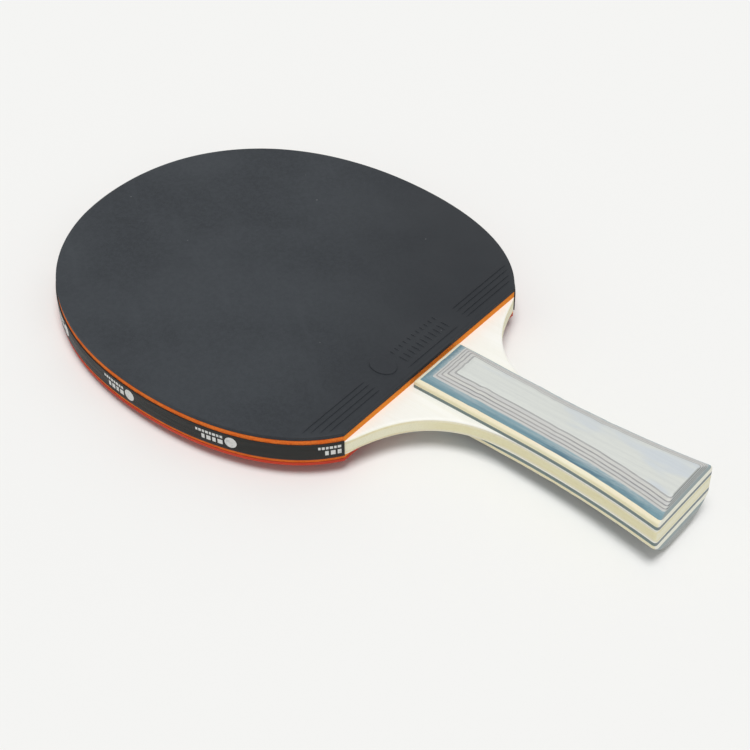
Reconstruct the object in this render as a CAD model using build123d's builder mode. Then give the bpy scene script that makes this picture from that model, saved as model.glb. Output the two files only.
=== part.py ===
# Table tennis paddle: a five-ply wooden blade between two sponge-and-rubber coverings,
# an edge tape round its rim, and two crowned handle scales glued up from coloured veneers.
# Millimetres.  +X runs from the tip of the head to the butt, +Z out of the black face.
import os
from math import cos, radians, sin

from build123d import *

os.makedirs("parts", exist_ok=True)

# ---- driving dimensions -------------------------------------------------------------
head_length = 156.5  # tip of the head to the straight cut of the rubber
head_width = 150.0  # widest place of the head
widest_offset = 67.0  # the widest place lies this far in front of the cut
tip_fullness = 0.60  # 0.552 would be a true quarter ellipse, more is squarer
cut_width = 96.0  # width of the head along the cut
shoulder_angle = 57.0  # slope of the outline where it crosses the cut, degrees
shoulder_side_pull = 29.5  # how long the side keeps its width before it turns in
shoulder_cut_pull = 22.3  # how long the shoulder runs straight into the cut
neck_cut_pull = 6.5  # the same on the neck's side of the cut
neck_length = 46.0  # from the cut to where the neck has run out into the handle
neck_handle_pull = 40.0  # how long the neck hugs the handle's side

core_ply = 3.2  # middle ply of the blade
inner_ply = 0.85  # ply on either side of the core
face_ply = 0.55  # outermost veneer of the blade

black_sponge_thick = 2.4
black_sheet_thick = 1.7
red_sponge_thick = 1.5
red_sheet_thick = 1.6

tape_lap = 0.1  # how far the tape laps over the sponge on either side of the blade
tape_thick = 0.45

handle_gap = 1.4  # from the cut of the rubber to the front of the handle
handle_length = 101.0
handle_front_width = 25.4
handle_waist_width = 24.8
handle_waist_offset = 44.0  # the waist lies this far behind the front of the handle
handle_butt_width = 34.0
butt_corner_radius = 1.6

navy_ply = 1.4  # thin veneer against the blade
cream_ply = 2.45
blue_ply = 2.0
grey_ply = 0.46
line_ply = 0.22  # thin dark veneer between two grey ones
grey_plies = 4  # pairs of a grey and a dark veneer under the cap
cap_ply = 0.43  # outermost veneer, the flat panel on top

side_wall_height = 1.4  # upright part of the cream ply, above the navy one
crown_side_reach = 8.4  # how far the crown climbs inwards from each side
crown_front_reach = 14.0  # the same from the front of the handle
crown_butt_reach = 1.2  # rounding of the edge round the butt
crown_shoulder = 0.25  # share of the crown that flattens out under the panel

# ---- worked out from them -----------------------------------------------------------
blade_half = core_ply / 2 + inner_ply + face_ply
tape_width = 2 * (blade_half + tape_lap)
handle_end = handle_gap + handle_length
cut_x = (head_length + tape_thick - handle_end) / 2  # puts the origin midway along
middle = Plane(origin=(cut_x, 0, 0))  # mid-plane of the blade, at the cut

wall_top = blade_half + navy_ply + side_wall_height
crown_top = (
    blade_half + navy_ply + cream_ply + blue_ply + grey_plies * (grey_ply + line_ply) + cap_ply
)
waist_x = handle_gap + handle_waist_offset
shoulder_run = (cos(radians(shoulder_angle)), -sin(radians(shoulder_angle)))
cut_corner = (0, cut_width / 2)


def along(point, direction, distance):
    """The point that lies a distance away along a direction."""
    return (point[0] + direction[0] * distance, point[1] + direction[1] * distance)


def half_width(x):
    """Half the handle's width: two parabolas that meet level at the waist."""
    if x < waist_x:
        share, end = (waist_x - x) / handle_waist_offset, handle_front_width
    else:
        share, end = (x - waist_x) / (handle_end - waist_x), handle_butt_width
    return (handle_waist_width + (end - handle_waist_width) * share**2) / 2


def side_arc(start, end, inset):
    """The parabola between two places on the same side of the waist."""
    middle_x = (start + end) / 2
    ends = (half_width(start) + half_width(end)) / 2
    return Bezier(
        (start, half_width(start) - inset),
        (middle_x, 2 * half_width(middle_x) - ends - inset),
        (end, half_width(end) - inset),
    )


def flare(start, end, inset):
    """One side of the handle from start to end, drawn inset from its true edge."""
    if start < waist_x:
        side_arc(start, waist_x, inset)
        start = waist_x
    return side_arc(start, end, inset)


def head_side():
    """One side of the head, from the tip to the corner of the cut."""
    side = (-widest_offset, head_width / 2)
    tip_pull = tip_fullness * (head_length - widest_offset)
    Bezier(
        (-head_length, 0),
        (-head_length, tip_fullness * head_width / 2),
        (side[0] - tip_pull, side[1]),
        side,
    )
    return Bezier(
        side,
        (side[0] + shoulder_side_pull, side[1]),
        along(cut_corner, shoulder_run, -shoulder_cut_pull),
        cut_corner,
    )


def head_sketch(height):
    """The head alone, cut straight where the handle begins."""
    with BuildSketch(middle.offset(height)) as head:
        with BuildLine():
            head_side()
            Line(cut_corner, (0, 0))
            mirror(about=Plane.XZ)
        make_face()
    return head.sketch


def crown_inset(height):
    """How far the crown has climbed at a height, from 0 at the wall to 1 at the panel."""
    climb = max(0, (height - wall_top) / (crown_top - wall_top))
    return (1 - crown_shoulder) * climb + crown_shoulder * climb**4


def scale_sketch(height, side):
    """Outline of a handle scale at a height above the blade's mid-plane."""
    inset = crown_inset(height)
    front = handle_gap + inset * crown_front_reach
    butt = handle_end - inset**2 * crown_butt_reach
    with BuildSketch(middle.offset(side * height)) as outline:
        with BuildLine() as edges:
            flare(front, butt, inset * crown_side_reach)
            Line(edges.line @ 0, (front, 0))
            Line((butt, half_width(butt) - inset * crown_side_reach), (butt, 0))
            mirror(about=Plane.XZ)
        make_face()
        fillet(outline.vertices().group_by(Axis.X)[-1], radius=butt_corner_radius)
    return outline.sketch


def save(part, name):
    part.label = name
    export_step(part, f"parts/{name}.step")


# ---- blade --------------------------------------------------------------------------
def blade_sketch(height):
    """The whole blade: head, neck and the tongue that the handle scales grip."""
    neck_end = (neck_length, half_width(neck_length))
    with BuildSketch(middle.offset(height)) as blade:
        with BuildLine():
            head_side()
            Bezier(
                cut_corner,
                along(cut_corner, shoulder_run, neck_cut_pull),
                (neck_end[0] - neck_handle_pull, neck_end[1]),
                neck_end,
            )
            flare(neck_length, handle_end, 0)
            Line((handle_end, handle_butt_width / 2), (handle_end, 0))
            mirror(about=Plane.XZ)
        make_face()
        fillet(blade.vertices().group_by(Axis.X)[-1], radius=butt_corner_radius)
    return blade.sketch


with BuildPart() as blade_core:
    add(blade_sketch(-core_ply / 2))
    extrude(amount=core_ply)
save(blade_core.part, "blade_core")

for side, side_name in ((1, "black_side"), (-1, "red_side")):
    with BuildPart() as inner_veneer:
        add(blade_sketch(side * core_ply / 2))
        extrude(amount=side * inner_ply)
    save(inner_veneer.part, f"blade_inner_veneer_{side_name}")

    with BuildPart() as face_veneer:
        add(blade_sketch(side * (core_ply / 2 + inner_ply)))
        extrude(amount=side * face_ply)
    save(face_veneer.part, f"blade_face_veneer_{side_name}")


# ---- coverings ----------------------------------------------------------------------
black_sheet_start = blade_half + black_sponge_thick
red_sheet_start = blade_half + red_sponge_thick

with BuildPart() as black_sponge:
    add(head_sketch(blade_half))
    extrude(amount=black_sponge_thick)
save(black_sponge.part, "black_side_sponge")

with BuildPart() as black_sheet:
    add(head_sketch(black_sheet_start))
    extrude(amount=black_sheet_thick)
save(black_sheet.part, "black_topsheet")

with BuildPart() as red_sponge:
    add(head_sketch(-blade_half))
    extrude(amount=-red_sponge_thick)
save(red_sponge.part, "red_side_sponge")

with BuildPart() as red_sheet:
    add(head_sketch(-red_sheet_start))
    extrude(amount=-red_sheet_thick)
save(red_sheet.part, "red_topsheet")

# ---- edge tape: one strip round the rim, from corner to corner of the cut ------------
with BuildPart() as edge_tape:
    with BuildLine(middle) as rim:
        head_side()
        mirror(about=Plane.XZ)
    path = rim.wires()[0]
    outwards = Vector(0, 0, 1).cross(path % 0)
    with BuildSketch(Plane(origin=path @ 0, x_dir=outwards, z_dir=path % 0)):
        Rectangle(tape_thick, tape_width, align=(Align.MIN, Align.CENTER))
    sweep(path=path, transition=Transition.RIGHT)
save(edge_tape.part, "edge_tape")


# ---- handle scales: plies counted outwards from the blade ----------------------------
plies = [("navy_veneer", navy_ply), ("cream_ply", cream_ply), ("blue_ply", blue_ply)]
for number in range(1, grey_plies + 1):
    plies += [(f"grey_ply_{number}", grey_ply), (f"dark_veneer_{number}", line_ply)]
plies.append(("cap_ply", cap_ply))

for side, side_name in ((1, "black_side"), (-1, "red_side")):
    inner = blade_half
    for ply_name, thickness in plies:
        outer = inner + thickness
        upright = min(outer, wall_top) - inner
        with BuildPart() as ply:
            if upright > 0:
                add(scale_sketch(inner, side))
                extrude(amount=side * upright)
            if outer > wall_top:
                add(scale_sketch(max(inner, wall_top), side))
                add(scale_sketch(outer, side))
                loft(ruled=True)
        save(ply.part, f"handle_{ply_name}_{side_name}")
        inner = outer
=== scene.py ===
from math import cos, pi, radians, sin

import bpy
import numpy as np
from mathutils import Matrix, Vector


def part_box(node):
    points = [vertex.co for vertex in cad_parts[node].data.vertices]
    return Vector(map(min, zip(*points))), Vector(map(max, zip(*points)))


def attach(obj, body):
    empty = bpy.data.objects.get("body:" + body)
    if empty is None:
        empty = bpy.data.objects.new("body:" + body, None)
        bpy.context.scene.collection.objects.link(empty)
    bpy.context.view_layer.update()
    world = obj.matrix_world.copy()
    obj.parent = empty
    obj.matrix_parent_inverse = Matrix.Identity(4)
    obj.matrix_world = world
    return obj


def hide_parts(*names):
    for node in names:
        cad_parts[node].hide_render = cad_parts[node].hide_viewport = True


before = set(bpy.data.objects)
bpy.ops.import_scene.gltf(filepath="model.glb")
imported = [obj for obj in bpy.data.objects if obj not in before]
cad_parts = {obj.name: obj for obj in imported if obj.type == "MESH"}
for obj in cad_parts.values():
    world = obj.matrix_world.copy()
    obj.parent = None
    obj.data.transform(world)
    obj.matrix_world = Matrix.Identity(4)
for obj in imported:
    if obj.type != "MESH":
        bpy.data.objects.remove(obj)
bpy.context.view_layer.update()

# Lengths are worked out in millimetres and become metres when a mesh is made.
# +X runs from the tip of the head to the butt, +Z out of the black face.


def boxOf(node):
    return [np.array(corner) * 1000 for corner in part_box(node)]


coverLow, coverHigh = boxOf("black_topsheet")
tipX, cutX, headHalf = coverLow[0], coverHigh[0], coverHigh[1]
handleLow, handleHigh = boxOf("handle_navy_veneer_black_side")
frontX, buttX, buttHalf = handleLow[0], handleHigh[0], handleHigh[1]
bladeTop = boxOf("blade_face_veneer_black_side")[1][2]


# lines and curves: rows of (x, y) points
def bezier(points, steps):
    # repeated straight blends between neighbouring control points, until one point is left
    share = np.linspace(0, 1, steps)[:, None]
    layer = np.asarray(points, float)[:, None, :]
    while len(layer) > 1:
        layer = layer[:-1] * (1 - share) + layer[1:] * share
    return layer[0]


def lengthAlong(line):
    # running sum of the steps between neighbouring points
    return np.concatenate([[0], np.cumsum(np.linalg.norm(np.diff(line, axis=0), axis=1))])


def pointsAt(line, walked):
    # straight blend between the two points on either side of each walked length
    total = lengthAlong(line)
    return np.stack([np.interp(walked, total, line[:, k]) for k in range(line.shape[1])], 1)


def evenly(line, steps):
    return pointsAt(line, np.linspace(0, lengthAlong(line)[-1], steps))


def cornered(before, after, reach, steps):
    # two lines that meet, each trimmed by reach, with a parabola about their old corner between them
    total = lengthAlong(before)
    kept = total[total < total[-1] - reach - 0.01]
    start = pointsAt(before, np.append(kept, total[-1] - reach))
    end = pointsAt(after, np.linspace(reach, lengthAlong(after)[-1], len(after)))
    return np.concatenate([start[:-1], bezier([start[-1], after[0], end[0]], steps), end[1:]])


def smooth(low, high, value):
    # 0 below low, 1 above high, and 3t2 - 2t3 between them
    t = np.clip((value - low) / (high - low), 0, 1)
    return t * t * (3 - 2 * t)


def wander(place, pitch, seed):
    # random values at evenly spaced knots, joined by smooth steps
    knots = np.random.default_rng(seed).uniform(-1, 1, 512)
    spot = np.asarray(place, float) / pitch + 200
    low = np.floor(spot).astype(int)
    t = spot - low
    t = t * t * (3 - 2 * t)
    return knots[low % 512] * (1 - t) + knots[(low + 1) % 512] * t


def pitted(across, up, pitch, seed):
    # depth 0 to 1 of round pits about centres scattered one to a square cell
    table = np.random.default_rng(seed).uniform(0, 1, (3, 256, 256))
    u, v = across / pitch, up / pitch
    cellU, cellV = np.floor(u).astype(int), np.floor(v).astype(int)
    deepest = np.zeros(np.broadcast(u, v).shape)
    for du in (-1, 0, 1):
        for dv in (-1, 0, 1):
            i, j = (cellU + du) % 256, (cellV + dv) % 256
            radius = 0.28 + 0.34 * table[2, i, j]
            away = (u - cellU - du - table[0, i, j]) ** 2 + (v - cellV - dv - table[1, i, j]) ** 2
            deepest = np.maximum(deepest, radius * np.clip(1 - away / radius**2, 0, 1))
    return deepest


# outlines: the near half runs from the tip (low x) to the butt (high x) at y <= 0
outline = {
    "widestOffset": 67.0,  # widest place of the head, in front of the cut
    "tipFullness": 0.60,
    "cutHalf": 48.0,
    "shoulderAngle": 57.0,
    "shoulderSidePull": 29.5,
    "shoulderCutPull": 22.3,
    "neckCutPull": 6.5,
    "neckLength": 46.0,
    "neckHandlePull": 40.0,
    "waistHalf": 12.4,
    "frontHalf": 12.7,
    "waistOffset": 44.0,  # the handle's narrowest place, behind its front
    "buttCorner": 1.5,
    "tipSteps": 400,  # points on each curve before they are spread out evenly
    "curveSteps": 300,
    "straightSteps": 60,
}
waistX = frontX + outline["waistOffset"]


def handleHalf(x):
    # two parabolas that meet level at the waist
    towardsFront = (waistX - x) / outline["waistOffset"]
    towardsButt = (x - waistX) / (buttX - waistX)
    front = (outline["frontHalf"] - outline["waistHalf"]) * towardsFront**2
    butt = (buttHalf - outline["waistHalf"]) * towardsButt**2
    return outline["waistHalf"] + np.where(x < waistX, front, butt)


def nearHead(steps):
    # two cubic curves: tip to widest place, widest place to the corner of the cut
    o = outline
    side = (cutX - o["widestOffset"], -headHalf)
    pull = o["tipFullness"] * (side[0] - tipX)
    run = (cos(radians(o["shoulderAngle"])), sin(radians(o["shoulderAngle"])))
    corner = (cutX, -o["cutHalf"])
    reach = o["shoulderCutPull"]
    tipPull = (tipX, -o["tipFullness"] * headHalf)
    tip = bezier([(tipX, 0), tipPull, (side[0] - pull, side[1]), side], o["tipSteps"])
    sidePull = (side[0] + o["shoulderSidePull"], side[1])
    cutPull = (cutX - run[0] * reach, corner[1] - run[1] * reach)
    shoulder = bezier([side, sidePull, cutPull, corner], o["curveSteps"])
    return evenly(np.concatenate([tip, shoulder[1:]]), steps)


def nearBlade(steps):
    # the head, a cubic neck, the handle's flare and half of the straight butt
    o = outline
    run = (cos(radians(o["shoulderAngle"])), sin(radians(o["shoulderAngle"])))
    neckX = cutX + o["neckLength"]
    neckY = -handleHalf(neckX)
    neck = bezier(
        [
            (cutX, -o["cutHalf"]),
            (cutX + run[0] * o["neckCutPull"], -o["cutHalf"] + run[1] * o["neckCutPull"]),
            (neckX - o["neckHandlePull"], neckY),
            (neckX, neckY),
        ],
        o["curveSteps"],
    )
    x = np.linspace(neckX, buttX, o["curveSteps"])
    flare = np.stack([x, -handleHalf(x)], 1)
    side = np.concatenate([nearHead(700), neck[1:], flare[1:]])
    straight = o["straightSteps"]
    butt = np.stack([np.full(straight, buttX), np.linspace(-buttHalf, 0, straight)], 1)
    return evenly(cornered(side, butt, o["buttCorner"], 12), steps)


def mirrored(near):
    return near * [1, -1]


def ringOf(near, far):
    return np.concatenate([near, far[-2:0:-1]])


def outwardOf(line, closed=True):
    # a quarter turn clockwise from the way the line runs
    ahead = np.roll(line, -1, 0) - np.roll(line, 1, 0) if closed else np.gradient(line, axis=0)
    out = np.stack([ahead[:, 1], -ahead[:, 0]], 1)
    return out / np.linalg.norm(out, axis=1, keepdims=True)


# shells: points in millimetres and the faces that join them
def gridFaces(rows, columns):
    # each cell joins a point, its neighbour along a closed row, and the two in the next row
    i, j = np.mgrid[0 : rows - 1, 0:columns]
    k = (j + 1) % columns
    cells = [i * columns + j, i * columns + k, (i + 1) * columns + k, (i + 1) * columns + j]
    return np.stack(cells, -1).reshape(-1, 4)


def slab(ring, insets, heights):
    # the ring is carried up through the heights, each time pulled in by its inset,
    # and rungs straight across from near side to far side close the two ends
    rows, columns = len(heights), len(ring)
    insets = np.broadcast_to(np.asarray(insets, float).reshape(rows, -1), (rows, columns))
    heights = np.broadcast_to(np.asarray(heights, float).reshape(rows, -1), (rows, columns))
    flat = ring[None] - outwardOf(ring)[None] * insets[:, :, None]
    return closedSlab(np.concatenate([flat, heights[:, :, None]], 2))


def tubeFaces(rows, columns):
    # the wall, one face across the first ring, turned over, and one across the last
    ends = [list(range(columns))[::-1], list(range((rows - 1) * columns, rows * columns))]
    return gridFaces(rows, columns).tolist() + ends


def turnedOver(faces):
    return [face[::-1] for face in faces]


def closedSlab(rings, wholeEnds=False):
    rows, columns = rings.shape[:2]
    if wholeEnds:  # an uneven rim is closed with one flat face, where rungs could cross
        return rings.reshape(-1, 3), tubeFaces(rows, columns)
    half = columns // 2
    k = np.arange(1, half - 1)
    rungs = np.stack([k, k + 1, columns - k - 1, columns - k], -1)
    ends = np.array([[0, 1, columns - 1], [half - 1, half, half + 1]])
    top = (rows - 1) * columns
    faces = gridFaces(rows, columns).tolist() + (rungs + top).tolist() + (ends + top).tolist()
    faces += rungs[:, ::-1].tolist() + ends[:, ::-1].tolist()
    return rings.reshape(-1, 3), faces


def strip(path, profile, taper=None):
    # a closed profile of (outward, up) points carried along an open path, with both ends closed
    profile = np.asarray(profile, float)
    out = outwardOf(path[:, :2], closed=False)
    size = np.ones(len(path)) if taper is None else taper
    flat = path[:, None, :2] + out[:, None, :] * profile[None, :, :1]
    up = path[:, 2:3] + profile[None, :, 1] * size[:, None]
    points = np.concatenate([flat, up[:, :, None]], 2)
    return points.reshape(-1, 3), turnedOver(tubeFaces(*points.shape[:2]))


def flipped(shell):
    # the same shell on the red side: turned over in z, with its faces turned to match
    points, faces = shell
    return points * [1, 1, -1], turnedOver(faces)


sharpAngle = 32  # degrees; flatter edges are shaded smooth


def makePiece(name, shells, material, nodes=(), surface=None):
    points, faces, start = [], [], 0
    for shellPoints, shellFaces in shells:
        points.append(shellPoints)
        faces += [[index + start for index in face] for face in shellFaces]
        start += len(shellPoints)
    points = np.concatenate(points)
    mesh = bpy.data.meshes.new(name)
    mesh.from_pydata((points * 0.001).tolist(), [], faces)
    if surface is not None:  # u along the piece and v across it, in millimetres
        corners = np.zeros(len(mesh.loops), int)
        mesh.loops.foreach_get("vertex_index", corners)
        layer = mesh.uv_layers.new(name="alongAcross")
        layer.data.foreach_set("uv", surface[corners].astype(np.float32).ravel())
    mesh.polygons.foreach_set("use_smooth", np.ones(len(mesh.polygons), bool))
    mesh.set_sharp_from_angle(angle=radians(sharpAngle))
    mesh.update()
    piece = bpy.data.objects.new(name, mesh)
    bpy.context.scene.collection.objects.link(piece)
    mesh.materials.append(material)
    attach(piece, "root")
    if nodes:
        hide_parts(*nodes)
    print("   ", name, sum(len(face) - 2 for face in faces), "triangles")


# material building blocks
def addNode(tree, kind, inputs=None, **settings):
    made = tree.nodes.new(kind)
    for key, value in settings.items():
        setattr(made, key, value)
    for key, value in (inputs or {}).items():
        if isinstance(value, bpy.types.NodeSocket):
            tree.links.new(value, made.inputs[key])
        else:
            made.inputs[key].default_value = value
    return made


def colourOf(values):
    return (*values, 1.0)


def maths(tree, operation, a, b=0.5, clamp=False):
    return addNode(tree, "ShaderNodeMath", {0: a, 1: b}, operation=operation, use_clamp=clamp).outputs[0]


def between(tree, value, low, high, toLow=0.0, toHigh=1.0):
    inputs = {"Value": value, "From Min": low, "From Max": high, "To Min": toLow, "To Max": toHigh}
    return addNode(tree, "ShaderNodeMapRange", inputs, interpolation_type="SMOOTHSTEP").outputs["Result"]


def mixed(tree, share, a, b, blend="MIX"):
    # a and b are sockets or plain colours
    first, second = (end if hasattr(end, "name") else colourOf(end) for end in (a, b))
    inputs = {0: share, 6: first, 7: second}
    return addNode(tree, "ShaderNodeMix", inputs, data_type="RGBA", blend_type=blend).outputs[2]


def placed(tree, lengths, turn=0.0, source="Object"):
    # coordinates counted in features: metres divided by a feature's millimetres
    scale = [(1000 if source == "Object" else 1) / size for size in lengths]
    where = addNode(tree, "ShaderNodeTexCoord").outputs[source]
    if turn:
        turned = {"Vector": where, "Rotation": (0, 0, radians(turn))}
        where = addNode(tree, "ShaderNodeMapping", turned).outputs[0]
    return addNode(tree, "ShaderNodeMapping", {"Vector": where, "Scale": scale}).outputs[0]


def cloudy(tree, lengths, detail=2.0, turn=0.0, source="Object"):
    inputs = {"Vector": placed(tree, lengths, turn, source), "Scale": 1.0, "Detail": detail}
    return addNode(tree, "ShaderNodeTexNoise", {**inputs, "Roughness": 0.55}).outputs[0]


def scattered(tree, size):
    # one random point to each cell; gives the distance to it and the cell's colour
    where = placed(tree, (size, size, size))
    return addNode(tree, "ShaderNodeTexVoronoi", {"Vector": where, "Scale": 1.0}).outputs


def axisOf(tree, source, axis):
    where = addNode(tree, "ShaderNodeTexCoord").outputs[source]
    return addNode(tree, "ShaderNodeSeparateXYZ", {0: where}).outputs[axis]


def newSurface(name, roughness, specular=0.5):
    material = bpy.data.materials.new(name)
    material.use_nodes = True
    tree = material.node_tree
    shader = tree.nodes["Principled BSDF"]
    shader.inputs["Specular IOR Level"].default_value = specular
    shader.inputs["Roughness"].default_value = roughness
    return material, tree, shader


def finishSurface(tree, shader, colour, height=None, depth=0.02, strength=1.0, roughness=None):
    tree.links.new(colour, shader.inputs["Base Color"])
    if roughness is not None:
        tree.links.new(roughness, shader.inputs["Roughness"])
    if height is not None:
        relief = {"Height": height, "Distance": depth * 0.001, "Strength": strength}
        bump = addNode(tree, "ShaderNodeBump", relief)
        tree.links.new(bump.outputs[0], shader.inputs["Normal"])


# wood: fibres run along the grain axis, and their cut ends show as darker pores
woodGrain = {  # length along the fibres and width across them, in millimetres
    "fine": (14, 0.24),
    "broad": (70, 1.5),
    "drift": (45, 9),
    "pore": (2.4, 0.13),
    "endDot": 0.3,
}


def woodSurface(name, look):
    material, tree, shader = newSurface(name, look["roughness"], look.get("specular", 0.3))
    alongX = look.get("grain", "x") == "x"

    def fibres(kind, detail):
        length = look.get(kind + "Length", woodGrain[kind][0])
        width = look.get(kind + "Width", woodGrain[kind][1])
        return cloudy(tree, (length, width, width) if alongX else (width, length, width), detail)

    fine, broad = fibres("fine", 3), fibres("broad", 2)
    drift, pores = fibres("drift", 1), fibres("pore", 1)
    blended = maths(tree, "ADD", maths(tree, "MULTIPLY", fine, 0.45), maths(tree, "MULTIPLY", broad, 0.55))
    streaks = between(tree, blended, 0.40, 0.62)
    colour = mixed(tree, streaks, look["colour"], look["streak"])
    if "upper" in look:  # a second tint above a height; on the cream ply it is painted light on the crown's slope
        upper = look["upper"]
        high = maths(tree, "ABSOLUTE", axisOf(tree, "Object", "Z"))
        tinted = mixed(tree, streaks, upper["colour"], upper["streak"])
        colour = mixed(tree, between(tree, high, upper["from"] * 0.001, upper["to"] * 0.001), colour, tinted)
    if "patch" in look:  # a broad cloudy tint
        patch = between(tree, cloudy(tree, look["patchSize"], 2), look["patchFrom"], look["patchFrom"] + 0.16)
        colour = mixed(tree, maths(tree, "MULTIPLY", patch, look["patchShare"]), colour, look["patch"])
    colour = mixed(tree, between(tree, drift, 0.35, 0.65, 0.0, 0.5), colour, look["streak"])
    poreShare = between(tree, pores, 0.60, 0.72, 0.0, look.get("poreShare", 0.35))
    colour = mixed(tree, poreShare, colour, look["pore"])
    across = maths(tree, "ABSOLUTE", axisOf(tree, "Normal", "X" if alongX else "Y"))
    dots = between(tree, cloudy(tree, (woodGrain["endDot"],) * 3, 2), 0.35, 0.65, 0.93, 1.03)
    dotted = addNode(tree, "ShaderNodeCombineColor", {0: dots, 1: dots, 2: dots}).outputs[0]
    endColour = mixed(tree, 1.0, look["end"], dotted, "MULTIPLY")
    colour = mixed(tree, between(tree, across, 0.45, 0.9), colour, endColour)
    sunk = maths(tree, "MULTIPLY", between(tree, pores, 0.6, 0.72), 0.5)
    height = maths(tree, "SUBTRACT", maths(tree, "MULTIPLY", fine, 0.7), sunk)
    rough = between(tree, broad, 0.3, 0.7, look["roughness"] - 0.06, look["roughness"] + 0.06)
    finishSurface(tree, shader, colour, height, look.get("depth", 0.03), 0.6, rough)
    return material


# blade: five plies, one outline, the neck's edges sanded round
blade = {
    "steps": 900,
    "neckRound": 0.95,  # radius of the sanded edge at the neck
    "roundStarts": 2.2,  # how far behind the cut it is fully round
    "tapedRound": 0.06,
    "plyRelief": 0.035,  # how much deeper the cross plies are sanded
    "roundRate": 0.8,  # how fast the rounding grows as the neck leaves the handle's side
    "faceRows": 9,  # rows of points up a face veneer, where the rounding is
    "plyRows": 7,
    "flatRim": 0.5,  # a ring this far in keeps each flat side flat
}
woods = {
    "core": {
        "colour": (0.88, 0.84, 0.57),
        "streak": (0.84, 0.78, 0.50),
        "pore": (0.66, 0.55, 0.32),
        "end": (0.91, 0.88, 0.67),
        "roughness": 0.6,
    },
    "cross": {
        "colour": (0.87, 0.81, 0.56),
        "streak": (0.81, 0.73, 0.47),
        "pore": (0.60, 0.48, 0.28),
        "end": (0.89, 0.84, 0.64),
        "roughness": 0.62,
        "grain": "y",
    },
    "face": {
        "colour": (0.93, 0.925, 0.875),
        "streak": (0.90, 0.89, 0.82),
        "pore": (0.80, 0.77, 0.66),
        "end": (0.93, 0.91, 0.76),
        "roughness": 0.5,
        "poreShare": 0.12,
    },
}


def edgeInset(height, radius):
    # how far a quarter round has pulled the wall in at a height: radius - sqrt(radius2 - rise2)
    rise = np.clip(np.abs(height) - (bladeTop - radius), 0, radius)
    return radius - np.sqrt(np.maximum(radius**2 - rise**2, 0))


def buildBlade():
    near = nearBlade(blade["steps"])
    ring = ringOf(near, mirrored(near))
    x, y = ring[:, 0], np.abs(ring[:, 1])
    # dies away where the handle begins
    free = np.clip(blade["roundRate"] * (y - handleHalf(x)), 0, blade["neckRound"])
    opened = smooth(cutX, cutX + blade["roundStarts"], x) * (x < cutX + outline["neckLength"])
    radius = blade["tapedRound"] + (free - blade["tapedRound"]).clip(0) * opened
    surfaces = {key: woodSurface("blade" + key.capitalize() + "Wood", look) for key, look in woods.items()}
    plies = [
        ("bladeCore", "blade_core", "core", "blade_wood"),
        ("innerVeneerBlackSide", "blade_inner_veneer_black_side", "cross", "blade_wood"),
        ("innerVeneerRedSide", "blade_inner_veneer_red_side", "cross", "blade_wood"),
        ("faceVeneerBlackSide", "blade_face_veneer_black_side", "face", "blade_face_wood"),
        ("faceVeneerRedSide", "blade_face_veneer_red_side", "face", "blade_face_wood"),
    ]
    for name, node, wood, slot in plies:
        low, high = boxOf(node)[0][2], boxOf(node)[1][2]
        heights = np.linspace(low, high, blade["faceRows"] if wood == "face" else blade["plyRows"])
        insets = np.stack([edgeInset(height, radius) for height in heights])
        if wood == "cross":
            insets = insets + blade["plyRelief"] * (x > cutX)
        heights = np.concatenate([[low], heights, [high]])
        insets = np.concatenate([insets[:1] + blade["flatRim"], insets, insets[-1:] + blade["flatRim"]])
        makePiece(name, [slab(ring, insets, heights)], surfaces[wood], [node])


buildBlade()
print("blade built")


# coverings: a sponge with open cells at its cut edge, and a topsheet on pips
sponge = {
    "steps": 1500,
    "pitch": 0.75,  # spacing of the open cells
    "depth": 0.22,
    "fineCell": 0.34,  # cells too small to be shaped, in the material alone
    "largeCell": 0.8,
    "cutBack": 0.04,
    "waver": 0.03,
    "waverPitch": 2.3,
    "rows": 9,
    "flatRim": 0.6,
    "cutShare": 0.22,  # points along half the cut, as a share of those along half the rim
    "colour": (0.86, 0.165, 0.022),
    "pale": (0.92, 0.22, 0.035),
    # painted shade for the sponge's open cells
    "shadedPore": (0.60, 0.080, 0.012),
    "litCutFace": (0.95, 0.33, 0.035),  # painted light: brighter and yellower on the straight cut, which faces +X towards the lamp
}


def coverRing(steps):
    near = nearHead(steps)
    cut = np.array([[cutX, -outline["cutHalf"]], [cutX, 0]])
    near = np.concatenate([near, evenly(cut, int(steps * sponge["cutShare"]))[1:]])
    return ringOf(near, mirrored(near))


def spongeSurface():
    material, tree, shader = newSurface("orangeSponge", 0.85, 0.15)
    cells = scattered(tree, sponge["fineCell"])["Distance"]
    large = scattered(tree, sponge["largeCell"])["Distance"]
    tint = cloudy(tree, (5, 5, 2), 2)
    colour = mixed(tree, between(tree, tint, 0.35, 0.65), sponge["colour"], sponge["pale"])
    # painted shade: the open cells, small and large, are painted darker where shade falls into them
    colour = mixed(tree, between(tree, cells, 0.0, 0.45, 0.75, 0.0), colour, sponge["shadedPore"])
    colour = mixed(tree, between(tree, large, 0.0, 0.35, 0.5, 0.0), colour, sponge["shadedPore"])
    # painted light: faces turned to +X, the straight cut, are painted brighter and yellower
    litCut = between(tree, axisOf(tree, "Normal", "X"), 0.80, 0.96, 0.0, 0.75)
    colour = mixed(tree, litCut, colour, sponge["litCutFace"])
    finishSurface(tree, shader, colour, cells, 0.15, 0.8)
    return material


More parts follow.
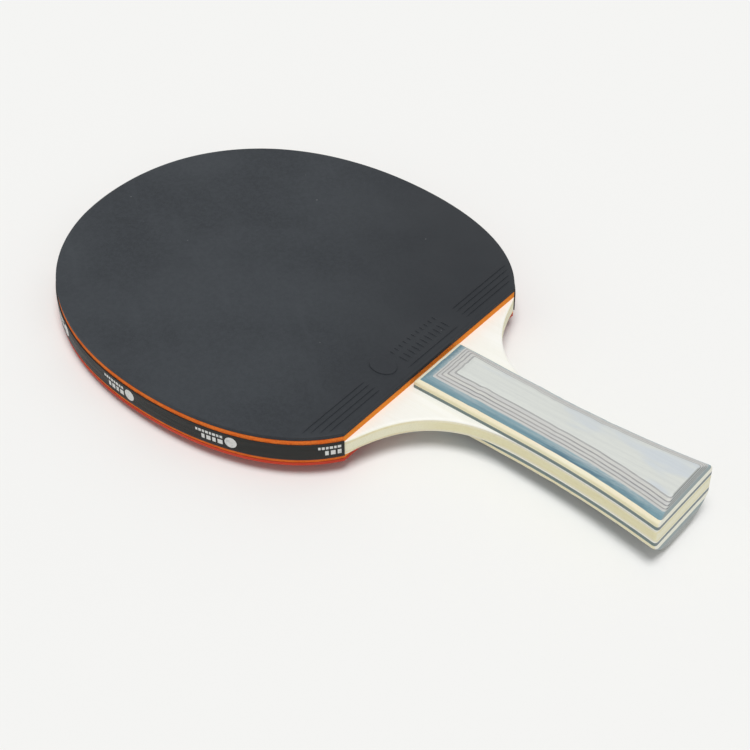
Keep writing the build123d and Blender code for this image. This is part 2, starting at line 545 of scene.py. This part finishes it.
def buildSponges():
    surface = spongeSurface()
    ring = coverRing(sponge["steps"])
    walked = lengthAlong(ring)
    sides = (("blackSideSponge", "black_side_sponge", 5), ("redSideSponge", "red_side_sponge", 8))
    for name, node, seed in sides:
        low, high = boxOf(node)[0][2], boxOf(node)[1][2]
        heights = np.linspace(low, high, sponge["rows"])
        pits = pitted(walked[None, :], heights[:, None], sponge["pitch"], seed)
        insets = sponge["cutBack"] + sponge["depth"] * pits
        insets = insets + sponge["waver"] * wander(walked, sponge["waverPitch"], seed + 20)
        insets[0] = insets[-1] = sponge["cutBack"]
        heights = np.concatenate([[low], heights, [high]])
        insets = np.concatenate([insets[:1] + sponge["flatRim"], insets, insets[-1:] + sponge["flatRim"]])
        makePiece(name, [slab(ring, insets, heights)], surface, [node])


buildSponges()
print("sponges built")

topsheet = {
    "steps": 620,
    "pipHeight": 0.2,  # the rest of the topsheet's thickness is its plain skin
    "pipPitch": 2.1,
    "pipFoot": 0.86,
    "pipTip": 0.74,
    "pipSides": 14,
    "pipStart": 70,  # the grid of pips is counted from this far in front of the cut
    "pipColumns": (-48, 62),
    "pipRows": (-44, 45),
    "pipBand": 5.0,  # pips further in than this are out of sight
    "edgeRound": 0.28,
    "ripple": 0.03,  # how unevenly the rim was cut
    "ripplePitch": 11,
    "fineRipple": 0.006,
    "fineRipplePitch": 1.7,
    "markHeight": 0.32,
    "markRoot": 0.12,  # how deep the moulded bars stand in the skin
}
rubberTexture = {  # sizes in millimetres
    "grain": (0.30, 0.30, 0.30),
    "mottle": (1.6, 1.6, 1.6),
    "blotch": (46, 34, 30),
    "smear": (60, 7, 30),
    "smearTurn": 38,
    "dustCell": 7,
    "paintedShadeFrom": -75,  # painted shade: darker towards the cut and the far side, from here
    "paintedShadeTo": 10,
    "paintedShadeAside": 0.6,
}
rubbers = {
    "black": {
        "colour": (0.0215, 0.0265, 0.0325),
        "dark": (0.0120, 0.0145, 0.0185),
        "pale": (0.036, 0.042, 0.050),
        "dust": (0.30, 0.31, 0.31),
        "roughness": 0.64,
        "specular": 0.36,
    },
    "red": {
        "colour": (0.62, 0.046, 0.015),
        "dark": (0.46, 0.027, 0.011),
        "pale": (0.70, 0.070, 0.022),
        "dust": (0.75, 0.50, 0.42),
        "roughness": 0.62,
        "specular": 0.28,
    },
}
moulding = {  # plain raised bars of the strip next to the cut, in front of it
    "lines": (10.7, 8.6, 6.2, 4.1),
    "lineFrom": 24.5,
    "lineWidth": 0.42,
    "underlineWidth": 0.5,
    "barWidth": 0.55,
    "rimGap": 2.6,
    "underline": 3.5,
    "underlineFrom": -9.5,
    "underlineTo": 18.6,
    "bossAt": (10.8, -14.2),
    "bossSize": (10.6, 8.2),
    # distance in from the boss's edge, share of its height (below 0: millimetres down into the skin)
    "bossEdge": ((0.0, -0.1), (0.0, 0.4), (0.12, 0.8), (0.35, 1.0), (0.9, 1.0), (1.4, 0.72), (1.8, 0.66)),
    "barRows": ((12.6, 1.9), (7.6, 3.9)),  # distance from the cut, length of each bar
    "barFrom": -7.0,
    "barPitch": 2.35,
    "barCount": 11,
}


def rubberSurface(name, look):
    material, tree, shader = newSurface(name, look["roughness"], look["specular"])
    texture = rubberTexture
    grain = cloudy(tree, texture["grain"], 3)
    mottle = cloudy(tree, texture["mottle"], 3)
    blotch = cloudy(tree, texture["blotch"], 2)
    smear = cloudy(tree, texture["smear"], 3, turn=texture["smearTurn"])
    colour = mixed(tree, between(tree, blotch, 0.32, 0.68, 0.0, 0.55), look["colour"], look["dark"])
    colour = mixed(tree, between(tree, mottle, 0.35, 0.70, 0.0, 0.35), colour, look["pale"])
    colour = mixed(tree, between(tree, grain, 0.42, 0.70, 0.0, 0.5), colour, look["pale"])
    colour = mixed(tree, between(tree, smear, 0.56, 0.74, 0.0, 0.35), colour, look["pale"])
    # painted shade: the rubber is painted darker towards the cut and the far side, where it shows less sheen
    aside = maths(tree, "MULTIPLY", axisOf(tree, "Object", "Y"), texture["paintedShadeAside"])
    slant = maths(tree, "ADD", axisOf(tree, "Object", "X"), aside)
    paintedShadeFrom, paintedShadeTo = ((cutX + texture[end]) * 0.001 for end in ("paintedShadeFrom", "paintedShadeTo"))
    colour = mixed(tree, between(tree, slant, paintedShadeFrom, paintedShadeTo, 0.0, 0.85), colour, look["dark"])
    dust = scattered(tree, texture["dustCell"])  # a speck in one cell in four
    picked = addNode(tree, "ShaderNodeSeparateColor", {0: dust["Color"]}).outputs[0]
    grainOfDust = between(tree, dust["Distance"], 0.02, 0.045, 1.0, 0.0)
    speck = maths(tree, "MULTIPLY", grainOfDust, between(tree, picked, 0.72, 0.8))
    colour = mixed(tree, maths(tree, "MULTIPLY", speck, 0.55), colour, look["dust"])
    height = maths(tree, "ADD", maths(tree, "MULTIPLY", grain, 0.8), maths(tree, "MULTIPLY", mottle, 0.6))
    rough = between(tree, blotch, 0.3, 0.7, look["roughness"] - 0.05, look["roughness"] + 0.07)
    finishSurface(tree, shader, colour, height, 0.035, 0.7, rough)
    return material


def rimPips(ring, foot, tip):
    # tapered pegs on a staggered grid in a band inside the edge; a foot that reaches past it is cut off
    t = topsheet
    rowGap = t["pipPitch"] * 0.866  # rows of an even triangular grid
    column, row = np.meshgrid(np.arange(*t["pipColumns"]), np.arange(*t["pipRows"]))
    shifted = cutX - t["pipStart"] + (column + 0.5 * (row % 2)) * t["pipPitch"]
    centres = np.stack([shifted, row * rowGap], -1).reshape(-1, 2)
    outward = outwardOf(ring)

    def beyond(points):
        # signed distance outside the nearest point of the edge, and the way out there
        parts = np.array_split(points, 60)
        nearest = [np.argmin(((part[:, None] - ring[None]) ** 2).sum(2), 1) for part in parts]
        nearest = np.concatenate(nearest)
        return ((points - ring[nearest]) * outward[nearest]).sum(1), outward[nearest]

    away = beyond(centres)[0]
    centres = centres[(away < -t["pipFoot"] * 1.15) & (away > -t["pipBand"])]
    angle = np.arange(t["pipSides"]) * 2 * pi / t["pipSides"]
    circle = np.stack([np.cos(angle), np.sin(angle)], 1)
    levels = [(t["pipTip"], tip), (t["pipTip"], tip + 0.75 * (foot - tip)), (t["pipFoot"] * 1.08, foot)]
    rings = []
    for radius, height in levels:
        flat = (centres[:, None] + circle[None] * radius).reshape(-1, 2)
        over, way = beyond(flat)
        flat = flat - way * np.clip(over + 0.03, 0, None)[:, None]
        level = np.column_stack([flat, np.full(len(flat), height)])
        rings.append(level.reshape(len(centres), t["pipSides"], 3))
    points = np.stack(rings, 1)  # peg, level, side
    sides, levelCount = t["pipSides"], len(levels)
    one = tubeFaces(levelCount, sides)
    size = levelCount * sides
    faces = [[index + k * size for index in face] for k in range(len(centres)) for face in one]
    return points.reshape(-1, 3), faces


def raisedBar(x, yFrom, yTo, width, top, ends=1.0):
    # a low rounded ridge along y: half a cosine across, dying away at both ends
    y = np.linspace(yFrom, yTo, max(6, int(abs(yTo - yFrom) / 1.2)))
    path = np.column_stack([np.full(len(y), x), y, np.full(len(y), top)])
    across = np.linspace(-0.5, 0.5, 7)
    rise = topsheet["markHeight"] * np.cos(across * pi)
    root = topsheet["markRoot"]
    outwards = np.append(across * width, [0.5 * width, -0.5 * width])
    profile = np.column_stack([outwards, np.append(rise, [-root, -root])])
    reach = np.minimum(np.abs(y - yFrom), np.abs(y - yTo))
    return strip(path, profile[::-1], smooth(-0.2, ends, reach))


def raisedBoss(x, y, size, top):
    # an oval rim round a slightly lower plate, ring by ring inwards
    columns = 48
    angle = np.linspace(0, 2 * pi, columns, endpoint=False)
    oval = np.stack([np.cos(angle), np.sin(angle)], 1) * np.array(size)[None] / 2
    rise = topsheet["markHeight"] * 1.3
    rings = []
    for inset, share in moulding["bossEdge"]:
        height = top + (rise * share if share > 0 else share)
        flat = oval * (1 - 2 * inset / min(size)) + [x, y]
        rings.append(np.column_stack([flat, np.full(columns, height)]))
    return np.stack(rings).reshape(-1, 3), tubeFaces(len(rings), columns)


def mouldedStrip(top):
    m = moulding
    half = nearHead(600)
    shells = []
    for away in m["lines"]:
        x = cutX - away
        edge = np.interp(x, half[-200:, 0], -half[-200:, 1]) - m["rimGap"]
        shells += [raisedBar(x, side * m["lineFrom"], side * edge, m["lineWidth"], top) for side in (1, -1)]
    ends = m["underlineFrom"], m["underlineTo"]
    shells.append(raisedBar(cutX - m["underline"], *ends, m["underlineWidth"], top))
    shells.append(raisedBoss(cutX - m["bossAt"][0], m["bossAt"][1], m["bossSize"], top))
    for away, length in m["barRows"]:
        for k in range(m["barCount"]):
            y = m["barFrom"] + k * m["barPitch"]
            points, faces = raisedBar(0, -length / 2, length / 2, m["barWidth"], top, 0.3)
            turned = points[:, [1, 0, 2]] * [1, -1, 1] + [cutX - away, y, 0]  # a quarter turn
            shells.append((turned, faces))
    return shells


def buildTopsheets():
    t = topsheet
    ring = coverRing(t["steps"])
    walked = lengthAlong(ring)
    for side, name, node, look, slot in (
        (1, "blackTopsheet", "black_topsheet", "black", "black_rubber"),
        (-1, "redTopsheet", "red_topsheet", "red", "red_rubber"),
    ):
        heights = sorted(abs(corner[2]) for corner in boxOf(node))
        foot, top = heights[0] + t["pipHeight"], heights[1]
        r = t["edgeRound"]
        turn = np.linspace(0, pi / 2, 6)
        # a ring under the skin, a small step out, the wall, a quarter round and a ring on top
        wall = np.linspace(foot + 0.2, top - r, 4)
        up = np.concatenate([[foot, foot, foot + 0.06], wall, top - r + r * np.sin(turn[1:]), [top]])
        inset = np.concatenate([[1.2, 0.08, 0.0], 0 * wall, r - r * np.cos(turn[1:]), [r + 1.0]])
        broad = t["ripple"] * wander(walked, t["ripplePitch"], 31 + side)[None]
        ripple = broad + t["fineRipple"] * wander(walked, t["fineRipplePitch"], 33 + side)[None]
        insets = inset[:, None] + np.clip(ripple + t["ripple"], 0, None) * (inset < 0.5)[:, None]
        shells = [slab(ring, insets, up), rimPips(ring, foot + 0.02, heights[0])] + mouldedStrip(top)
        if side < 0:
            shells = [flipped(shell) for shell in shells]
        makePiece(name, shells, rubberSurface(look + "Rubber", rubbers[look]), [node])


buildTopsheets()
print("topsheets built")

# edge tape: one strip from corner to corner of the cut, with plain pale marks
tape = {
    "steps": 1100,
    "edgeSoft": 0.12,
    "waver": 0.05,  # how far its edges wander
    "waverPitch": 23,
    "glue": 0.01,  # between the tape and the rim
    "scuffSize": (26, 1.4, 1),
    "overlap": 0.5,  # laid by hand, it laps further over the black side's sponge
    "weftPitch": 0.62,
    "warpPitch": 0.5,
    "colour": (0.0115, 0.0125, 0.0115),
    "thread": (0.021, 0.023, 0.021),
    "scuff": (0.055, 0.056, 0.054),
}
marks = {
    "pitch": 43.2,  # from one group to the next along the tape
    "first": -4.5,  # the first disc would lie past the near corner, so the tape's end cuts it off
    "discHeight": 0.5,  # its middle, above the middle of the blade
    "film": 0.035,  # thickness of the print
    "lift": 0.002,
    "endGap": 0.4,  # bare tape at both ends
    "wearSize": 1.3,
    "disc": 4.5,
    "rows": (  # lower edge, upper edge, lengths of the dashes, gap between them
        (1.35, 2.45, (1.0, 0.9, 1.2, 0.8, 1.1, 0.9, 1.0, 0.8), 0.38),
        (-1.35, 0.55, (1.9, 1.3, 1.6, 1.2), 0.7),
    ),
    "rowStart": 3.0,  # from the middle of the disc to the first dash
    "colour": (0.72, 0.73, 0.71),
    "worn": (0.50, 0.51, 0.50),
}


def tapeSurface():
    material, tree, shader = newSurface("edgeTape", 0.52, 0.25)

    def threads(pitch, direction):
        where = placed(tree, (pitch, pitch, 1), source="UV")
        inputs = {"Vector": where, "Scale": 1.0, "Distortion": 0.6, "Detail": 1.0}
        return addNode(tree, "ShaderNodeTexWave", inputs, bands_direction=direction).outputs["Fac"]

    cloth = maths(tree, "MULTIPLY", threads(tape["weftPitch"], "X"), threads(tape["warpPitch"], "Y"))
    scuff = cloudy(tree, tape["scuffSize"], 3, source="UV")
    colour = mixed(tree, cloth, tape["colour"], tape["thread"])
    colour = mixed(tree, between(tree, scuff, 0.60, 0.76, 0.0, 0.45), colour, tape["scuff"])
    finishSurface(tree, shader, colour, cloth, 0.05, 0.5, between(tree, scuff, 0.4, 0.7, 0.44, 0.62))
    return material


def markSurface():
    material, tree, shader = newSurface("markPrint", 0.45, 0.35)
    wear = cloudy(tree, (marks["wearSize"],) * 3, 3)
    colour = mixed(tree, between(tree, wear, 0.5, 0.72, 0.0, 0.8), marks["colour"], marks["worn"])
    finishSurface(tree, shader, colour, wear, 0.01, 0.5)
    return material


def buildTape():
    low, high = boxOf("edge_tape")
    width = high[2] - low[2]
    thick = high[1] - headHalf
    near = nearHead(tape["steps"])
    line = np.concatenate([mirrored(near)[::-1], near[1:]])  # far corner, tip, near corner
    walked = lengthAlong(line)
    total = walked[-1]
    path = np.column_stack([line, tape["waver"] * wander(walked, tape["waverPitch"], 61)])
    turn = np.linspace(0, pi / 2, 5)
    soft, half = tape["edgeSoft"], width / 2
    corner = np.column_stack([thick - soft + soft * np.cos(turn), half - soft + soft * np.sin(turn)])
    lower = corner[::-1] * [1, -1]
    upper = corner + [0, tape["overlap"]]
    face = np.column_stack([np.full(5, thick), np.linspace(lower[-1, 1], upper[0, 1], 7)[1:-1]])
    glue = tape["glue"]
    profile = np.concatenate([[[glue, lower[0, 1]]], lower, face, upper, [[glue, upper[-1, 1]]]])
    points, faces = strip(path, profile)
    across = lengthAlong(profile)
    surface = np.stack(np.broadcast_arrays(walked[:, None], across[None, :]), -1).reshape(-1, 2)
    makePiece("edgeTape", [(points, faces)], tapeSurface(), ["edge_tape"], surface=surface)

    out = outwardOf(line, closed=False)

    def onTape(lengths, away):
        spot = pointsAt(line, lengths)
        way = np.stack([np.interp(lengths, walked, out[:, k]) for k in (0, 1)], 1)
        lift = np.interp(lengths, walked, path[:, 2])
        return np.column_stack([spot + way * away, lift])

    def dashShells(centre):
        # two rows of short bars, laid from beside the group's disc towards the far corner
        film, edge = marks["film"], marks["endGap"]
        shells = []
        for low, high, lengths, gap in marks["rows"]:
            stop = centre - marks["rowStart"]
            for length in lengths:
                begin = stop - length
                if begin > edge and stop < total - edge:
                    bar = [(0.0, low), (film, low), (film, high), (0.0, high)]
                    shells.append(strip(onTape(np.linspace(begin, stop, 5), thick + marks["lift"]), bar))
                stop = begin - gap
        return shells

    def discShell(centre):
        # slices through a disc: each one's half height is sqrt(radius2 - offset2)
        radius, slices = marks["disc"] / 2, 13
        across = np.linspace(-0.98, 0.98, slices) * radius
        reach = np.sqrt(radius**2 - across**2)
        inner, outer = marks["lift"], marks["lift"] + marks["film"]
        rings = []
        for away, share in ((inner, -1), (outer, -1), (outer, 1), (inner, 1)):
            spots = onTape(centre + across, thick + away)
            spots[:, 2] += marks["discHeight"] + share * reach
            rings.append(spots)
        return np.stack(rings, 1).reshape(-1, 3), turnedOver(tubeFaces(slices, len(rings)))

    shells = []
    for centre in np.arange(total - marks["first"], 3, -marks["pitch"]):
        shells += dashShells(centre)
        if centre < total:
            shells.append(discShell(centre))
    makePiece("tapeMarks", shells, markSurface())


buildTape()
print("edge tape built")

# handle scales: plies sliced out of one crowned block, sanded by hand
crown = {
    "sideReach": 8.4,
    "frontReach": 14.0,
    "buttReach": {1: 1.2, -1: 0.15},  # the black side is sanded rounder at the butt than the red one
    "shoulder": 0.25,  # share of the crown that flattens out under the panel
    "wallTop": 5.8,
    "easing": 0.05,  # softens the line where the upright wall turns into the crown
    "frontCorner": 0.45,
    "buttCorner": 1.5,
    "wobble": 0.18,  # how unevenly the crown is sanded, in height
    "longWave": 17,
    "shortWave": 5.5,
    "kink": 0.15,  # short steps where the sanding paper caught
    "kinkWave": 1.9,
    "kinkSpread": 13,
    "evenFront": 6,  # the sanding evens out over this length at the front, and at the butt
    "evenButt": 5,
    "flatRim": 0.4,  # a ring this far in keeps each flat end flat
    "rowHeight": 0.22,
    "sideSteps": 150,
    "endSteps": 16,
    "ringSteps": 330,
}
handlePlies = [  # CAD node, piece, wood, slot, counted outwards from the blade
    ("navy_veneer", "NavyVeneer", "navy", "navy_veneer"),
    ("cream_ply", "CreamPly", "cream", "cream_wood"),
    ("blue_ply", "BluePly", "blue", "blue_wood"),
]
for number in range(1, 5):
    dark = "dark" if number < 4 else "faint"  # the last one is sanded thin under the panel
    handlePlies.append((f"grey_ply_{number}", f"GreyPly{number}", "grey", "grey_wood"))
    handlePlies.append((f"dark_veneer_{number}", f"DarkVeneer{number}", dark, "dark_veneer"))
handlePlies.append(("cap_ply", "CapPly", "cap", "cap_wood"))
handleWoods = {
    "navy": {
        "colour": (0.130, 0.190, 0.195),
        "streak": (0.21, 0.27, 0.26),
        "pore": (0.06, 0.10, 0.12),
        "end": (0.21, 0.25, 0.26),
        "roughness": 0.5,
        "broadWidth": 0.5,
    },
    "cream": {
        "colour": (0.91, 0.87, 0.62),
        "streak": (0.88, 0.81, 0.55),
        "pore": (0.72, 0.60, 0.38),
        # the end grain's own colour, with painted light: painted whiter and brighter than the sides, as the
        # butt faces the lamp
        "end": (0.94, 0.92, 0.80),
        "roughness": 0.5,
        # painted light: above the wall top the cream crown is tinted paler and pinker for how its slope faces
        # the light
        "upper": {"colour": (0.93, 0.88, 0.68), "streak": (0.94, 0.83, 0.66), "from": 5.6, "to": 6.0},
    },
    "blue": {
        "colour": (0.105, 0.190, 0.250),
        "streak": (0.20, 0.34, 0.39),
        "pore": (0.07, 0.13, 0.18),
        "end": (0.31, 0.38, 0.39),
        "roughness": 0.45,
        "broadWidth": 0.7,
        "broadLength": 26,
        "upper": {"colour": (0.30, 0.42, 0.46), "streak": (0.50, 0.54, 0.55), "from": 7.3, "to": 8.8},
    },
    "grey": {
        "colour": (0.62, 0.62, 0.58),
        "streak": (0.57, 0.57, 0.56),
        "pore": (0.42, 0.43, 0.42),
        "end": (0.48, 0.50, 0.49),
        "roughness": 0.45,
    },
    "dark": {
        "colour": (0.26, 0.265, 0.27),
        "streak": (0.40, 0.39, 0.38),
        "pore": (0.22, 0.225, 0.23),
        "end": (0.13, 0.14, 0.145),
        "roughness": 0.45,
        "broadWidth": 0.6,
        "broadLength": 18,
    },
    "faint": {
        "colour": (0.33, 0.335, 0.33),
        "streak": (0.45, 0.45, 0.44),
        "pore": (0.28, 0.285, 0.29),
        "end": (0.18, 0.19, 0.19),
        "roughness": 0.45,
        "broadWidth": 0.6,
        "broadLength": 18,
    },
    "cap": {
        "colour": (0.68, 0.70, 0.66),
        "streak": (0.63, 0.65, 0.62),
        "pore": (0.50, 0.52, 0.51),
        "end": (0.42, 0.44, 0.42),
        "roughness": 0.42,
        "poreShare": 0.25,
        "patch": (0.54, 0.60, 0.68),
        "patchSize": (26, 9, 9),
        "patchFrom": 0.50,
        "patchShare": 0.55,
    },
}


crownTop = boxOf("handle_cap_ply_black_side")[1][2]


def crownShare(height, dip):
    # climb from the wall to the panel, with the turn at the wall eased: 3/4 straight, 1/4 fourth power
    c = crown
    climb = (height + dip - c["wallTop"]) / (crownTop - c["wallTop"])
    climb = (climb + np.sqrt(climb**2 + c["easing"] ** 2)) / 2 - 0.01 * c["easing"]
    return (1 - c["shoulder"]) * climb + c["shoulder"] * climb**4


def scaleHalf(height, seed, side):
    # half an outline: front edge, front corner, side, butt corner, butt edge
    c = crown
    x = np.linspace(frontX, buttX, c["sideSteps"])
    dip = c["wobble"] * (0.6 * wander(x, c["longWave"], seed) + 0.4 * wander(x, c["shortWave"], seed + 1))
    kinked = smooth(0.55, 0.8, np.abs(wander(x, c["kinkSpread"], seed + 3)))
    dip += c["kink"] * wander(x, c["kinkWave"], seed + 2) * kinked
    dip *= smooth(frontX, frontX + c["evenFront"], x) * smooth(buttX, buttX - c["evenButt"], x)
    share = crownShare(height, dip)
    y = -(handleHalf(x) - share * c["sideReach"])
    level = crownShare(height, 0.0)
    lateral = np.linspace(0, 1, c["endSteps"])  # from the middle of the front to its corner
    frontDip = 0.5 * c["wobble"] * wander(lateral * 13, 4, seed + 4) * (1 - lateral)
    startX = frontX + level * c["frontReach"]
    endX = buttX - level**2 * c["buttReach"][side]
    startY, endY = np.interp(startX, x, y), np.interp(endX, x, y)
    edgeX = startX + (crownShare(height, frontDip) - level) * c["frontReach"]
    front = np.stack([edgeX, startY * lateral], 1)
    kept = np.linspace(startX, endX, c["sideSteps"])
    flank = np.stack([kept, np.interp(kept, x, y)], 1)
    butt = np.stack([np.full(c["endSteps"], endX), np.linspace(endY, 0, c["endSteps"])], 1)
    shoulder = cornered(front, flank, c["frontCorner"] * (0.6 + level), 6)
    return cornered(shoulder, butt, c["buttCorner"], 8)


def pulledIn(ring):
    inward = np.column_stack([outwardOf(ring[:, :2]), np.zeros(len(ring))])
    return ring - inward * crown["flatRim"]


def buildHandle():
    surfaces = {}
    for key, look in handleWoods.items():
        surfaces[key] = woodSurface("handle" + key.capitalize() + "Wood", look)
    sides = ((1, "BlackSide", "black_side", 100), (-1, "RedSide", "red_side", 200))
    for side, label, suffix, seed in sides:
        for node, name, wood, slot in handlePlies:
            cadNode = f"handle_{node}_{suffix}"
            low, high = sorted(abs(corner[2]) for corner in boxOf(cadNode))
            steps = max(3, int((high - low) / crown["rowHeight"]) + 2)
            rings = []
            for height in np.linspace(low, high, steps):
                near = evenly(scaleHalf(height, seed, side), crown["ringSteps"])
                far = mirrored(evenly(scaleHalf(height, seed + 50, side), crown["ringSteps"]))
                ring = ringOf(near, far)
                rings.append(np.column_stack([ring, np.full(len(ring), height)]))
            rings = [pulledIn(rings[0])] + rings + [pulledIn(rings[-1])]
            shell = closedSlab(np.stack(rings), wholeEnds=True)
            shell = shell if side > 0 else flipped(shell)
            makePiece("handle" + name + label, [shell], surfaces[wood], [cadNode])


buildHandle()
print("handle built")

# floor, light and camera
studio = {
    "floorColour": (0.885, 0.885, 0.870),
    "skyStrength": 0.40,
    "sunStrength": 2.02,
    "sunSpread": 28,  # degrees across
    "sunElevation": 77,
    "sunAzimuth": -45,  # from +X, towards +Y
    "floorSize": 6000,
}


def buildFloor():
    # the paddle lies on the tip of its head and on its handle, so the floor is a slanting plane
    tip, rest = boxOf("red_topsheet")[0], boxOf("handle_cap_ply_red_side")[0]
    slope = (rest[2] - tip[2]) / (rest[0] - tip[0])
    reach = studio["floorSize"] / 2
    x, y = np.array([-reach, reach, reach, -reach]), np.array([-reach, -reach, reach, reach])
    z = tip[2] + slope * (x - tip[0]) - 0.02
    mesh = bpy.data.meshes.new("floor")
    mesh.from_pydata((np.column_stack([x, y, z]) * 0.001).tolist(), [], [[0, 1, 2, 3]])
    floor = bpy.data.objects.new("floor", mesh)
    bpy.context.scene.collection.objects.link(floor)
    material, tree, shader = newSurface("paleFloor", 1.0, 0.0)
    plain = studio["floorColour"]
    finishSurface(tree, shader, mixed(tree, cloudy(tree, (400, 400, 400), 1), plain, plain))
    mesh.materials.append(material)


def buildLight():
    world = bpy.data.worlds.new("sky")
    bpy.context.scene.world = world
    world.use_nodes = True
    tree = world.node_tree
    background = tree.nodes["Background"]
    path = addNode(tree, "ShaderNodeLightPath")
    seen = maths(tree, "MAXIMUM", path.outputs["Is Camera Ray"], path.outputs["Is Glossy Ray"])
    sky = (studio["skyStrength"],) * 3
    tree.links.new(mixed(tree, seen, sky, studio["floorColour"]), background.inputs["Color"])
    sun = bpy.data.lights.new("softLamp", "SUN")
    sun.energy = studio["sunStrength"]
    sun.angle = radians(studio["sunSpread"])
    lamp = bpy.data.objects.new("softLamp", sun)
    rise, turn = radians(studio["sunElevation"]), radians(studio["sunAzimuth"])
    towards = Vector((cos(turn) * cos(rise), sin(turn) * cos(rise), sin(rise)))
    lamp.rotation_euler = towards.to_track_quat("Z", "Y").to_euler()
    bpy.context.scene.collection.objects.link(lamp)


view = {
    "azimuth": 39.60,
    "elevation": 42.59,
    "roll": -0.42,
    "distance": 595.3,
    "target": (12.4, -13.7, 0.0),
    "lens": 81.97,
}


def buildCamera():
    a, e, r = radians(view["azimuth"]), radians(view["elevation"]), radians(view["roll"])
    back = Vector((sin(a) * cos(e), -cos(a) * cos(e), sin(e)))
    right = Vector((cos(a), sin(a), 0))
    up = back.cross(right)
    turnedRight = right * cos(r) + up * sin(r)
    turnedUp = up * cos(r) - right * sin(r)
    camera = bpy.data.objects.new("camera", bpy.data.cameras.new("camera"))
    camera.data.lens = view["lens"]
    camera.data.sensor_width = 36
    camera.matrix_world = Matrix((turnedRight, turnedUp, back)).transposed().to_4x4()
    camera.location = (Vector(view["target"]) + back * view["distance"]) * 0.001
    camera.data.clip_start, camera.data.clip_end = 0.01, 20
    bpy.context.scene.collection.objects.link(camera)
    bpy.context.scene.camera = camera


buildFloor()
buildLight()
buildCamera()
bpy.context.scene.view_settings.view_transform = "Standard"
print("stage set")

bpy.context.view_layer.update()
